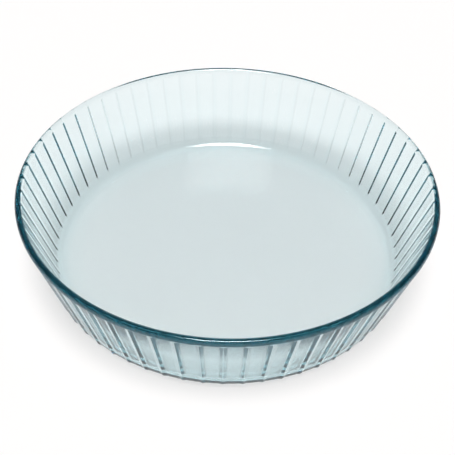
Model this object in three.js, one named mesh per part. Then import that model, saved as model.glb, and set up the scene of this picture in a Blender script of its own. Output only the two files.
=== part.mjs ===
// Round glass baking dish: one pressing of clear glass with a flared wall of flat panels between upright
// ribs, a plain thick rim and a flat foot ring under a slightly raised floor. The wall thins towards the rim.
// Millimetres, +Z up, the foot ring rests on z = 0.
import * as THREE from 'three';

// Overall form
const RIM_RADIUS = 130;
const HEIGHT = 60.2;
const FOOT_RADIUS = 106;
const FOOT_WIDTH = 7;
const FOOT_RISE = 0.4;
const FOOT_SLOPE = 6;
const FLOOR_INSET = 3.6;
const FLOOR_RADIUS = FOOT_RADIUS - FLOOR_INSET;
const FLOOR_THICKNESS = 4;

// Rim band
const RIM_WIDTH = 4.2;
const RIM_DROP = 3.8;
const RIM_STEP = 1.2;
const RIM_STEP_HEIGHT = 0.8;
const RIM_STEPS = 6;

// Rounded bottom edge, outside and inside
const HEEL_RADIUS = 9.5;
const HEEL_STEPS = 5;
const CORNER_RADIUS = 9;
const CORNER_STEPS = 4;

// Upright ribs between the flat panels of the wall, rising out of the heel and running into the rim
const RIBS = 64;
const RIB_WIDTH = 4.6;
const RIB_CREST = 1;
const RIB_HEIGHT = 0.8;
const RIB_START = 1.5;
const RIB_FULL = 6;

// Where the straight line from an outside point touches the lower half of a circle: the angle below level
function touchAngle(centreRadius, centreHeight, circleRadius, pointRadius, pointHeight) {
  const across = pointRadius - centreRadius;
  const up = pointHeight - centreHeight;
  const reach = Math.hypot(across, up);
  return Math.acos(circleRadius / reach) - Math.atan2(up, across);
}

// The section of the dish, from the middle of the underside round the outside and the rim to the inside
// edge of the floor. Each row holds a radius, a height and the share of the rib height at that place.
function sectionRows() {
  const rows = [];
  const footInner = FOOT_RADIUS - FOOT_WIDTH;
  rows.push({ r: footInner - FOOT_SLOPE, z: FOOT_RISE, rib: 0 });
  rows.push({ r: footInner, z: 0, rib: 0 });

  // Heel, from the foot ring up to where the straight wall leaves it
  const wallTop = { r: RIM_RADIUS - RIM_STEP, z: HEIGHT - RIM_DROP - RIM_STEP_HEIGHT };
  const heelTouch = touchAngle(FOOT_RADIUS, HEEL_RADIUS, HEEL_RADIUS, wallTop.r, wallTop.z);
  for (let i = 0; i <= HEEL_STEPS; i += 1) {
    const below = Math.PI / 2 + (heelTouch - Math.PI / 2) * (i / HEEL_STEPS);
    const z = HEEL_RADIUS - HEEL_RADIUS * Math.sin(below);
    rows.push({
      r: FOOT_RADIUS + HEEL_RADIUS * Math.cos(below),
      z,
      rib: THREE.MathUtils.clamp((z - RIB_START) / (RIB_FULL - RIB_START), 0, 1),
    });
  }
  rows.push({ r: wallTop.r, z: wallTop.z, rib: 1 });

  // Rim band with a half-round top
  const rimTurn = RIM_WIDTH / 2;
  const rimCentre = RIM_RADIUS - rimTurn;
  rows.push({ r: RIM_RADIUS, z: HEIGHT - RIM_DROP, rib: 0 });
  for (let i = 0; i <= RIM_STEPS; i += 1) {
    const turn = (Math.PI * i) / RIM_STEPS;
    rows.push({
      r: rimCentre + rimTurn * Math.cos(turn),
      z: HEIGHT - rimTurn + rimTurn * Math.sin(turn),
      rib: 0,
    });
  }

  // Rounded corner, where the straight inside wall from the rim comes down to the floor
  const cornerHeight = FLOOR_THICKNESS + CORNER_RADIUS;
  const cornerTouch = touchAngle(
    FLOOR_RADIUS, cornerHeight, CORNER_RADIUS, RIM_RADIUS - RIM_WIDTH, HEIGHT - rimTurn,
  );
  for (let i = 0; i <= CORNER_STEPS; i += 1) {
    const below = cornerTouch + (Math.PI / 2 - cornerTouch) * (i / CORNER_STEPS);
    rows.push({
      r: FLOOR_RADIUS + CORNER_RADIUS * Math.cos(below),
      z: cornerHeight - CORNER_RADIUS * Math.sin(below),
      rib: 0,
    });
  }
  return rows;
}

// Directions round the dish: each rib has a left foot, a narrow crest and a right foot
function columnList() {
  const columns = [];
  const pitch = (2 * Math.PI) / RIBS;
  const halfFoot = RIB_WIDTH / 2 / RIM_RADIUS;
  const halfCrest = RIB_CREST / 2 / RIM_RADIUS;
  for (let k = 0; k < RIBS; k += 1) {
    const middle = k * pitch - Math.PI / 2;
    columns.push({ angle: middle - halfFoot, reach: 0 });
    columns.push({ angle: middle - halfCrest, reach: RIB_HEIGHT });
    columns.push({ angle: middle + halfCrest, reach: RIB_HEIGHT });
    columns.push({ angle: middle + halfFoot, reach: 0 });
  }
  return columns;
}

// One closed skin: rings of points along the section, capped at the middle of the underside and of the floor
function dishGeometry() {
  const rows = sectionRows();
  const columns = columnList();
  const count = columns.length;
  const positions = [];
  for (const row of rows) {
    for (const column of columns) {
      const radius = row.r + row.rib * column.reach;
      positions.push(radius * Math.cos(column.angle), radius * Math.sin(column.angle), row.z);
    }
  }
  const underside = rows.length * count;
  positions.push(0, 0, FOOT_RISE);
  const floor = underside + 1;
  positions.push(0, 0, FLOOR_THICKNESS);

  const index = [];
  for (let i = 0; i < count; i += 1) {
    const next = (i + 1) % count;
    index.push(underside, next, i);
    for (let j = 0; j < rows.length - 1; j += 1) {
      const low = j * count;
      const high = low + count;
      index.push(low + i, low + next, high + next);
      index.push(low + i, high + next, high + i);
    }
    const last = (rows.length - 1) * count;
    index.push(last + i, last + next, floor);
  }
  const geometry = new THREE.BufferGeometry();
  geometry.setAttribute('position', new THREE.Float32BufferAttribute(positions, 3));
  geometry.setIndex(index);
  geometry.computeVertexNormals();
  return geometry;
}

const glass = new THREE.MeshStandardMaterial({ color: 0xd9e2e6, roughness: 0.04, metalness: 0 });
const dish = new THREE.Mesh(dishGeometry(), glass);
dish.name = 'fluted_dish';

const part = new THREE.Group();
part.name = 'glass_baking_dish';
part.add(dish);

export default part;
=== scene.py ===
"""Studio scene of a round fluted glass baking dish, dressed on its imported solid."""
import logging
import math
from dataclasses import dataclass

import bpy
import numpy as np
from mathutils import Matrix, Vector


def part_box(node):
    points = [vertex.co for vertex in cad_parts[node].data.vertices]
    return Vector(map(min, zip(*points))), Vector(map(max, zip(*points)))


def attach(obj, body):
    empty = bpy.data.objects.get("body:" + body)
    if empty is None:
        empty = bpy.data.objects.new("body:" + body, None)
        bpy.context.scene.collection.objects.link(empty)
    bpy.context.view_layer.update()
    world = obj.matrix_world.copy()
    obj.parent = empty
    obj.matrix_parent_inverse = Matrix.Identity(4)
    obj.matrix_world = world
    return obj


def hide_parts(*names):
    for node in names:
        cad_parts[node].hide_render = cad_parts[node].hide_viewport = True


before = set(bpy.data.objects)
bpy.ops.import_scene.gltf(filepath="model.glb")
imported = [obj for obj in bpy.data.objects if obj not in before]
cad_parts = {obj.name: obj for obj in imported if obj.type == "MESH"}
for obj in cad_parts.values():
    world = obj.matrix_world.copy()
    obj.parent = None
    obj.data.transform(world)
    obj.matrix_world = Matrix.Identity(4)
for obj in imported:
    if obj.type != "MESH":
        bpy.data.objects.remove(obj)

LOG = logging.getLogger("baking_dish")
DISH_NODE = "fluted_dish"
ROOT_BODY = "root"
WHITE = (1.0, 1.0, 1.0, 1.0)

# Bounces that let light find its way out of thick glass
MAX_BOUNCES = 64
TRANSMISSION_BOUNCES = 64
GLOSSY_BOUNCES = 32

Point = tuple[float, float]


def arc_points(centre: Point, radius: float, start: float, end: float, count: int) -> np.ndarray:
    """Points on a circular arc in the half section.

    Formula: centre plus radius times the cosine (outwards) and sine (upwards) of an angle that runs evenly
    from start to end.

    Args:
        centre: Distance from the axis and height of the arc's centre, in metres.
        radius: Radius of the arc, in metres.
        start: First angle in radians, 0 pointing outwards and a quarter turn pointing up.
        end: Last angle in radians.
        count: Number of points.

    Returns:
        Array of shape (count, 2) with distance from the axis and height.
    """
    angle = np.linspace(start, end, count)
    return np.stack([centre[0] + radius * np.cos(angle), centre[1] + radius * np.sin(angle)], axis=1)


def touch_angle(centre: Point, radius: float, point: Point) -> float:
    """Angle at which a line from an outer point touches the lower outside of a circle.

    Formula: the bearing of the point from the centre less the angle whose cosine is radius over distance.

    Args:
        centre: Distance from the axis and height of the circle's centre, in metres.
        radius: Radius of the circle, in metres.
        point: Distance from the axis and height of the outer point.

    Returns:
        Angle of the touching point in radians, 0 pointing outwards and negative below that.
    """
    across = point[0] - centre[0]
    up = point[1] - centre[1]
    return math.atan2(up, across) - math.acos(radius / math.hypot(across, up))


def smooth_share(value: np.ndarray, low: float, high: float) -> np.ndarray:
    """Smooth step from 0 at low to 1 at high: three times the square of the share less twice its cube."""
    share = np.clip((value - low) / (high - low), 0.0, 1.0)
    return share * share * (3.0 - 2.0 * share)


def larger_of(
    tree: bpy.types.NodeTree, first: bpy.types.NodeSocket, second: bpy.types.NodeSocket
) -> bpy.types.NodeSocket:
    """Add a Math node that gives the larger of two values.

    Args:
        tree: The node tree that gets the node.
        first: Socket with the first value.
        second: Socket with the second value.

    Returns:
        The socket with the larger value.
    """
    larger = tree.nodes.new("ShaderNodeMath")
    larger.operation = "MAXIMUM"
    tree.links.new(first, larger.inputs[0])
    tree.links.new(second, larger.inputs[1])
    return larger.outputs["Value"]


@dataclass(frozen=True)
class PressedGlass:
    """Clear, fire-polished pressed glass with a blue-green tint that shows where it is thick."""

    name: str = "clear_pressed_glass"
    refraction: float = 1.47
    roughness: float = 0.09
    tint: tuple[float, float, float] = (0.0, 0.585, 0.68)
    density: float = 40.0

    def material(self) -> bpy.types.Material:
        """Make the glass: a clear refracting skin round a body that absorbs red light first.

        Returns:
            The finished material.
        """
        glass = bpy.data.materials.new(self.name)
        glass.use_nodes = True
        nodes = glass.node_tree.nodes
        skin = nodes["Principled BSDF"]
        skin.inputs["Base Color"].default_value = WHITE
        skin.inputs["Roughness"].default_value = self.roughness
        skin.inputs["IOR"].default_value = self.refraction
        skin.inputs["Transmission Weight"].default_value = 1.0
        body = nodes.new("ShaderNodeVolumeAbsorption")
        body.inputs["Color"].default_value = (*self.tint, 1.0)
        body.inputs["Density"].default_value = self.density
        glass.node_tree.links.new(body.outputs["Volume"], nodes["Material Output"].inputs["Volume"])
        return glass


@dataclass(frozen=True)
class PaleFloor:
    """Pale matt floor that shows nearly white and still takes the dish's soft shadow."""

    name: str = "pale_floor"
    colour: tuple[float, float, float] = (0.98, 0.935, 0.92)
    roughness: float = 0.9
    glow: float = 0.64

    def material(self) -> bpy.types.Material:
        """Make the floor: matt paint, lifted towards white for the rays that the picture and the glass see.

        Returns:
            The finished material.
        """
        floor = bpy.data.materials.new(self.name)
        floor.use_nodes = True
        tree = floor.node_tree
        nodes = tree.nodes
        links = tree.links
        paint = nodes["Principled BSDF"]
        paint.inputs["Base Color"].default_value = (*self.colour, 1.0)
        paint.inputs["Roughness"].default_value = self.roughness
        light = nodes.new("ShaderNodeEmission")
        path = nodes.new("ShaderNodeLightPath")
        seen = larger_of(tree, path.outputs["Is Camera Ray"], path.outputs["Is Glossy Ray"])
        seen_through = larger_of(tree, seen, path.outputs["Is Transmission Ray"])
        lift = nodes.new("ShaderNodeMath")
        lift.operation = "MULTIPLY"
        lift.inputs[1].default_value = self.glow
        links.new(seen_through, lift.inputs[0])
        blend = nodes.new("ShaderNodeMixShader")
        links.new(lift.outputs["Value"], blend.inputs["Fac"])
        links.new(paint.outputs["BSDF"], blend.inputs[1])
        links.new(light.outputs["Emission"], blend.inputs[2])
        links.new(blend.outputs["Shader"], nodes["Material Output"].inputs["Surface"])
        return floor


@dataclass
class FlutedDish:
    """The dish itself: one pressing with floor, rounded corner, flared and ribbed wall, rim and foot ring.

    Sizes are in metres and angles in radians. The rim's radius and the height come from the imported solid.
    The roundness of the ribs is a share of half their width, and the crowding of their columns is a power.
    """

    rim_radius: float
    height: float
    name: str = "fluted_dish_glass"

    # Foot ring and floor
    foot_radius: float = 0.106
    foot_width: float = 0.007
    foot_rise: float = 0.0004
    foot_slope: float = 0.006
    floor_radius: float = 0.1016
    floor_thickness: float = 0.004

    # Rim band, its step out from the wall and its rounded lower edge
    rim_width: float = 0.0042
    rim_drop: float = 0.0038
    rim_step: float = 0.0012
    rim_step_height: float = 0.0008
    rim_edge: float = 0.0006
    rim_edge_start: float = -math.pi / 3
    rim_edge_points: int = 4
    rim_points: int = 14

    # Rounded bottom edge, outside and inside
    heel_radius: float = 0.0095
    heel_points: int = 12
    corner_radius: float = 0.0105
    corner_points: int = 12

    # Distance below the wall's top of the row that keeps its smooth shading straight up to the rim
    wall_end_gap: float = 0.0003

    # Upright ribs, rising out of the heel and running into the rim
    ribs: int = 64
    rib_width: float = 0.0044
    rib_height: float = 0.00068
    rib_round: float = 0.1
    rib_start: float = 0.0015
    rib_full: float = 0.006
    rib_columns: int = 28
    column_crowding: float = 1.6

    def outside(self) -> np.ndarray:
        """Half section of the underside, the heel and the outside wall, up to the step under the rim.

        Formula: the underside rests on the foot ring and is raised inside it. The heel is an arc, and the
        wall is the line from under the rim that touches the heel's circle.

        Returns:
            Points (distance from the axis, height). The last two are the wall's end row and its top.
        """
        foot_inner = self.foot_radius - self.foot_width
        rise_start = foot_inner - self.foot_slope
        under = [(rise_start / 2, self.foot_rise), (rise_start, self.foot_rise), (foot_inner, 0.0)]
        heel_centre = (self.foot_radius, self.heel_radius)
        wall_top = (self.rim_radius - self.rim_step, self.height - self.rim_drop - self.rim_step_height)
        heel_touch = touch_angle(heel_centre, self.heel_radius, wall_top)
        heel = arc_points(heel_centre, self.heel_radius, -math.pi / 2, heel_touch, self.heel_points)
        rise = wall_top - heel[-1]
        wall = [heel[-1] + rise / 2, wall_top - rise * self.wall_end_gap / rise[1], wall_top]
        return np.concatenate([under, heel, wall])

    def inside(self) -> np.ndarray:
        """Half section of the rim's rounded top, the inside wall, the corner and the floor.

        Formula: the rim's top and the corner are arcs, and the inside wall is the line that touches both
        circles, so that the wall thins a little towards the rim.

        Returns:
            Points (distance from the axis, height), from the rim's outer side to halfway in on the floor.
        """
        rim_turn = self.rim_width / 2
        rim_centre = (self.rim_radius - rim_turn, self.height - rim_turn)
        corner_centre = (self.floor_radius, self.floor_thickness + self.corner_radius)
        corner_touch = touch_angle(corner_centre, self.corner_radius + rim_turn, rim_centre)
        rim_top = arc_points(rim_centre, rim_turn, 0.0, math.pi + corner_touch, self.rim_points)
        corner = arc_points(
            corner_centre, self.corner_radius, corner_touch, -math.pi / 2, self.corner_points,
        )
        wall = [(rim_top[-1] + corner[0]) / 2]
        floor = [(self.floor_radius / 2, self.floor_thickness)]
        return np.concatenate([rim_top, wall, corner, floor])

    def section(self) -> tuple[np.ndarray, np.ndarray, np.ndarray]:
        """Half section from the middle of the underside round the rim to the middle of the floor.

        Formula: the outside, the rim's lower edge as an arc, and the inside, joined end to end. The ribs
        stand on the section, and beside the rim's lower edge on the wall's line carried on upwards.

        Returns:
            Points (distance from the axis, height), the distance from the axis of what the ribs stand on at
            each of them, and the share of the ribs' height there.
        """
        outside = self.outside()
        edge_centre = (self.rim_radius - self.rim_edge, self.height - self.rim_drop + self.rim_edge)
        edge = arc_points(edge_centre, self.rim_edge, self.rim_edge_start, 0.0, self.rim_edge_points)
        points = np.concatenate([outside, edge, self.inside()])
        ribbed = len(outside) + len(edge)
        wall_end, wall_top = outside[-2:]
        lean = (wall_top[0] - wall_end[0]) / (wall_top[1] - wall_end[1])
        stand = points[:, 0].copy()
        stand[len(outside):ribbed] = wall_top[0] + lean * (edge[:, 1] - wall_top[1])
        share = smooth_share(points[:, 1], self.rib_start, self.rib_full)
        share[ribbed:] = 0.0
        return points, stand, share

    def rib_outline(self) -> tuple[np.ndarray, np.ndarray]:
        """Directions round the dish and how far the ribs stand out there.

        Formula: each rib's columns crowd towards its middle line by a power of their distance from it. The
        rib falls from its crest to its foot as a hyperbola, straight on the flanks and rounded at the
        crest.

        Returns:
            Angles round the axis in radians, and the outward reach at each of them in metres.
        """
        half = np.linspace(-1.0, 1.0, self.rib_columns, endpoint=False)
        across = np.sign(half) * np.abs(half) ** self.column_crowding / 2
        place = (np.arange(self.ribs)[:, None] + across[None, :]).ravel()
        angle = place * 2 * math.pi / self.ribs - math.pi / 2
        pitch = 2 * math.pi * self.rim_radius / self.ribs
        share = np.clip(np.abs(across) * pitch / (self.rib_width / 2), 0.0, 1.0)
        fall = np.hypot(share, self.rib_round) - self.rib_round
        reach = self.rib_height * (1.0 - fall / (math.hypot(1.0, self.rib_round) - self.rib_round))
        return angle, np.tile(reach, self.ribs)

    def mesh(self) -> bpy.types.Mesh:
        """Carry the half section round the axis, moved out by the ribs, and close both middles.

        Formula: radius is the larger of the section's radius and of what the ribs stand on plus their share
        times their reach. The grid of section points by directions is closed round, and a fan closes it at
        each end.

        Returns:
            The closed mesh.
        """
        points, stand, share = self.section()
        angle, reach = self.rib_outline()
        rows = len(points)
        columns = len(angle)
        radius = np.maximum(points[:, :1], stand[:, None] + share[:, None] * reach[None, :])
        height = np.broadcast_to(points[:, 1:], radius.shape)
        grid = np.stack([radius * np.cos(angle), radius * np.sin(angle), height], axis=2).reshape(-1, 3)
        middles = np.array([[0.0, 0.0, points[0, 1]], [0.0, 0.0, points[-1, 1]]])
        vertices = np.concatenate([grid, middles])
        row = np.arange(rows - 1)[:, None] * columns
        here = np.arange(columns)[None, :]
        after = (here + 1) % columns
        quads = np.stack([row + here, row + after, row + columns + after, row + columns + here], axis=2)
        under = np.full(columns, rows * columns)
        last = (rows - 1) * columns
        under_fan = np.stack([under, after[0], here[0]], axis=1)
        floor_fan = np.stack([under + 1, last + here[0], last + after[0]], axis=1)
        faces = quads.reshape(-1, 4).tolist() + under_fan.tolist() + floor_fan.tolist()
        mesh = bpy.data.meshes.new(self.name)
        mesh.from_pydata(vertices, [], faces)
        mesh.update()
        mesh.shade_smooth()
        return mesh

    def build(self, finish: PressedGlass) -> bpy.types.Object:
        """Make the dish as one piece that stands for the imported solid.

        Args:
            finish: The glass that the dish is pressed from.

        Returns:
            The dish's object.
        """
        dish = bpy.data.objects.new(self.name, self.mesh())
        bpy.context.scene.collection.objects.link(dish)
        dish.data.materials.append(finish.material())
        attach(dish, ROOT_BODY)
        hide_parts(DISH_NODE)
        return dish


@dataclass
class Studio:
    """A plain studio: a pale floor under a small soft light, with a white wall all round at the horizon.

    The floor's sizes are in metres. The light's tilt from overhead is in radians, and its edge and softness
    are cosines of the angle from its middle. The wall's height and softness are sines of the angle above the
    horizon. A strength of 1 is white.
    """

    name: str = "soft_studio"
    floor_side: float = 8.0
    floor_gap: float = 0.0002
    light_strength: float = 26.0
    light_edge: float = 0.98
    light_softness: float = 0.015
    light_tilt: float = -0.25
    shade_strength: float = 0.03
    wall_strength: float = 1.0
    wall_height: float = 0.2
    wall_softness: float = 0.06

    def floor(self, finish: PaleFloor) -> bpy.types.Object:
        """Lay the floor just under the foot ring.

        Args:
            finish: The floor's paint.

        Returns:
            The floor's object.
        """
        reach = self.floor_side / 2
        corners = np.array([(-reach, -reach), (reach, -reach), (reach, reach), (-reach, reach)])
        heights = np.full((len(corners), 1), -self.floor_gap)
        mesh = bpy.data.meshes.new(finish.name)
        mesh.from_pydata(np.hstack([corners, heights]), [], [range(len(corners))])
        mesh.materials.append(finish.material())
        floor = bpy.data.objects.new(finish.name, mesh)
        bpy.context.scene.collection.objects.link(floor)
        return floor

    @staticmethod
    def soft_step(
        tree: bpy.types.NodeTree, value: bpy.types.NodeSocket, edge: float, softness: float,
        before: float, after: float,
    ) -> bpy.types.NodeSocket:
        """Add a node that turns smoothly from one strength to another where a value passes an edge.

        Formula: the smooth step of the value from edge less softness to edge plus softness, spread from the
        strength before the edge to the strength after it.

        Args:
            tree: The node tree that gets the node.
            value: Socket with the value.
            edge: The value in the middle of the step.
            softness: Half the width of the step.
            before: Strength below the edge.
            after: Strength above the edge.

        Returns:
            The socket with the strength.
        """
        step = tree.nodes.new("ShaderNodeMapRange")
        step.interpolation_type = "SMOOTHSTEP"
        step.inputs["From Min"].default_value = edge - softness
        step.inputs["From Max"].default_value = edge + softness
        step.inputs["To Min"].default_value = before
        step.inputs["To Max"].default_value = after
        tree.links.new(value, step.inputs["Value"])
        return step.outputs["Result"]

    def light(self) -> bpy.types.World:
        """Light the studio from its surroundings: a small light nearly overhead and a wall at the horizon.

        Formula: the strength is the larger of the light, a soft round patch that leans from overhead
        towards the camera with shade about it, and of the wall, which ends softly above the horizon.

        Returns:
            The world that holds the light.
        """
        world = bpy.data.worlds.new(self.name)
        bpy.context.scene.world = world
        world.use_nodes = True
        tree = world.node_tree
        nodes = tree.nodes
        direction = nodes.new("ShaderNodeTexCoord").outputs["Generated"]
        facing = nodes.new("ShaderNodeVectorMath")
        facing.operation = "DOT_PRODUCT"
        facing.inputs[1].default_value = (0.0, math.sin(self.light_tilt), math.cos(self.light_tilt))
        tree.links.new(direction, facing.inputs[0])
        light = self.soft_step(
            tree, facing.outputs["Value"], self.light_edge, self.light_softness,
            before=self.shade_strength, after=self.light_strength,
        )
        split = nodes.new("ShaderNodeSeparateXYZ")
        tree.links.new(direction, split.inputs["Vector"])
        wall = self.soft_step(
            tree, split.outputs["Z"], self.wall_height, self.wall_softness,
            before=self.wall_strength, after=0.0,
        )
        surroundings = nodes["Background"]
        surroundings.inputs["Color"].default_value = WHITE
        tree.links.new(larger_of(tree, light, wall), surroundings.inputs["Strength"])
        return world


@dataclass
class PhotoCamera:
    """The camera at the photograph's viewing angle, in metres and radians.

    Its focal length and the side of the square picture are in picture pixels, its sensor in millimetres.
    """

    name: str = "photo_camera"
    picture_side: float = 455.0
    focus_pixels: float = 798.85
    distance: float = 0.52355
    elevation: float = math.radians(42.83)
    roll: float = math.radians(1.54)
    target: tuple[float, float, float] = (0.00038, 0.0, 0.01867)
    sensor_width: float = 36.0
    nearest: float = 0.01

    def build(self) -> bpy.types.Object:
        """Place the camera on its line of sight and turn it by its small roll.

        Returns:
            The camera's object.
        """
        level_right = Vector((1.0, 0.0, 0.0))
        back = Vector((0.0, -math.cos(self.elevation), math.sin(self.elevation)))
        level_up = back.cross(level_right)
        right = level_right * math.cos(self.roll) + level_up * math.sin(self.roll)
        data = bpy.data.cameras.new(self.name)
        data.sensor_width = self.sensor_width
        data.lens = self.focus_pixels / self.picture_side * self.sensor_width
        data.clip_start = self.nearest
        camera = bpy.data.objects.new(self.name, data)
        axes = Matrix((right, back.cross(right), back)).transposed().to_4x4()
        axes.translation = Vector(self.target) + self.distance * back
        camera.matrix_world = axes
        bpy.context.scene.collection.objects.link(camera)
        bpy.context.scene.camera = camera
        return camera


def set_up_render() -> None:
    """Use plain view colours and enough bounces for light to find its way out of thick glass."""
    scene = bpy.context.scene
    scene.view_settings.view_transform = "Standard"
    scene.cycles.max_bounces = MAX_BOUNCES
    scene.cycles.transmission_bounces = TRANSMISSION_BOUNCES
    scene.cycles.glossy_bounces = GLOSSY_BOUNCES


def main() -> None:
    """Build the camera, the dish and the studio in order, and report each piece."""
    logging.basicConfig(level=logging.INFO, format="%(name)s: %(message)s")
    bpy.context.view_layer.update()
    low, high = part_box(DISH_NODE)
    set_up_render()
    camera = PhotoCamera().build()
    LOG.info("camera %s with a %.1f mm lens", camera.name, camera.data.lens)
    dish = FlutedDish(rim_radius=(high[0] - low[0]) / 2, height=high[2] - low[2]).build(PressedGlass())
    LOG.info("dish %s with %d faces", dish.name, len(dish.data.polygons))
    studio = Studio()
    LOG.info("floor %s", studio.floor(PaleFloor()).name)
    LOG.info("light %s", studio.light().name)


if __name__ == "__main__":
    main()
